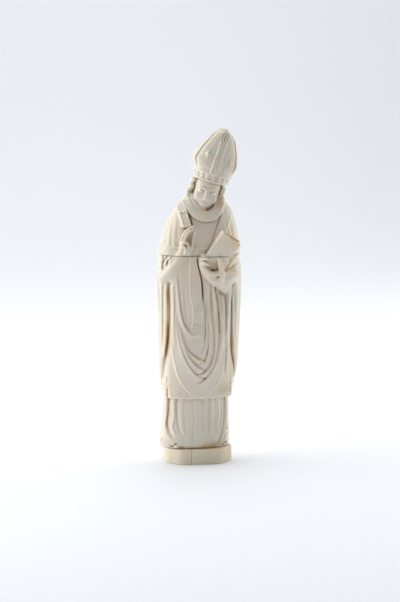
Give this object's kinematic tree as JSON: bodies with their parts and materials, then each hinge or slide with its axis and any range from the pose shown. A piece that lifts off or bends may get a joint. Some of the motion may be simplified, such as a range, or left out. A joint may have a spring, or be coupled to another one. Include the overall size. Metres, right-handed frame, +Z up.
{
  "type": "ivory figurine",
  "caption": "Carved ivory figurine of a standing bishop in mitre and cape, one hand raised in blessing and the other holding a closed book, on a low octagonal plinth.",
  "frame": {"origin": "middle of the plinth's flat underside", "axes": "+Z up the figure, +X to the viewer's right along the plinth's front edge, +Y away from the viewer, so the figure faces -Y"},
  "size_m": [0.0526, 0.041, 0.2008],
  "materials": {
    "ivory": "polished old ivory, warm cream, slightly translucent, with brown patina in the hollows",
    "ivory_plinth": "polished ivory, a little yellower, with fine vertical cracks"
  },
  "bodies": {
    "root": {"plinth": "ivory_plinth", "lower_figure": "ivory", "upper_figure": "ivory"}
  },
  "joints": []
}
